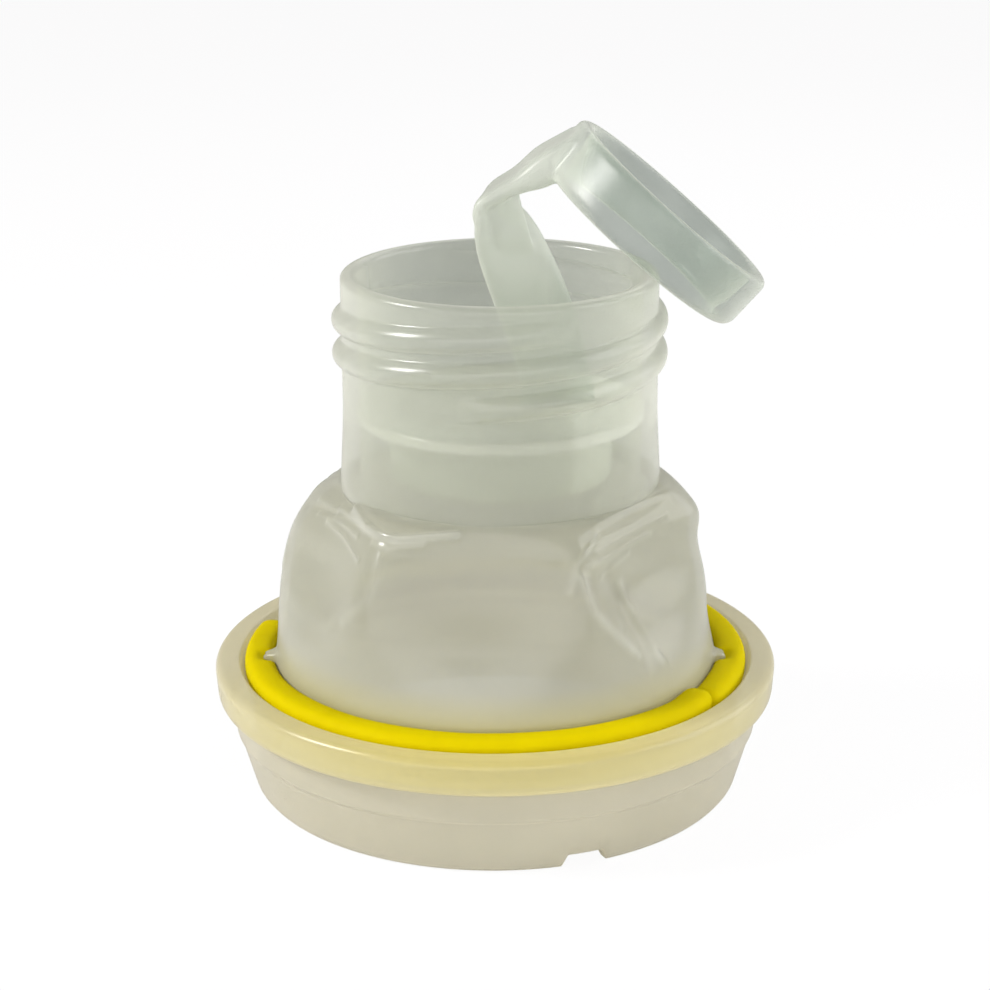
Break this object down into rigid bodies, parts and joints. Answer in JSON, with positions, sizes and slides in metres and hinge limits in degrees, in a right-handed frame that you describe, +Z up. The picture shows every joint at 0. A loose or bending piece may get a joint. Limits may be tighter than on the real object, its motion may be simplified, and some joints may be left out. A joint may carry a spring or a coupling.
{
  "type": "pour spout",
  "caption": "Collapsible pull-out pour spout: round plug flange with yellow seal, flexible skirt, threaded neck and tear-out disc with strap and pull ring.",
  "frame": {"origin": "centre of the skirt's bottom edge, on the spout's axis", "axes": "+Z up the spout's axis towards the mouth, +X the side the pull ring leans to, -Y the side with the notch in the bottom edge"},
  "size_m": [0.065, 0.065, 0.076],
  "materials": {
    "flange_plastic": "translucent soft polyethylene, yellow-tinted by the seal",
    "body_plastic": "thin translucent soft polyethylene",
    "neck_plastic": "translucent soft polyethylene",
    "tab_plastic": "translucent soft polyethylene",
    "seal": "bright yellow soft sealing strip"
  },
  "bodies": {
    "base": {"base_ring": "flange_plastic", "seal_bead_front": "seal", "seal_bead_rear": "seal", "diaphragm": "body_plastic"},
    "neck": {"neck": "neck_plastic", "cap_thread": "neck_plastic", "pour_tube": "neck_plastic"},
    "disc": {"tear_membrane": "neck_plastic"},
    "strap": {"pull_strap": "tab_plastic"},
    "ring": {"pull_arm": "tab_plastic", "pull_ring": "tab_plastic"}
  },
  "joints": [
    {"name": "neck_slide", "type": "slide", "parent": "base", "child": "neck", "axis": [0, 0, 1], "range_m": [-0.038, 0], "deforming": ["diaphragm"]},
    {"name": "seal_pull", "type": "slide", "parent": "neck", "child": "disc", "axis": [0, 0, 1], "range_m": [0, 0.05]},
    {"name": "strap_hinge", "type": "hinge", "parent": "disc", "child": "strap", "pos_m": [0.003, 0, 0.0445], "axis": [0, -1, 0], "range_deg": [0, 25]},
    {"name": "ring_hinge", "type": "hinge", "parent": "strap", "child": "ring", "pos_m": [0, 0, 0.0667], "axis": [0, -1, 0], "range_deg": [0, 95]}
  ]
}
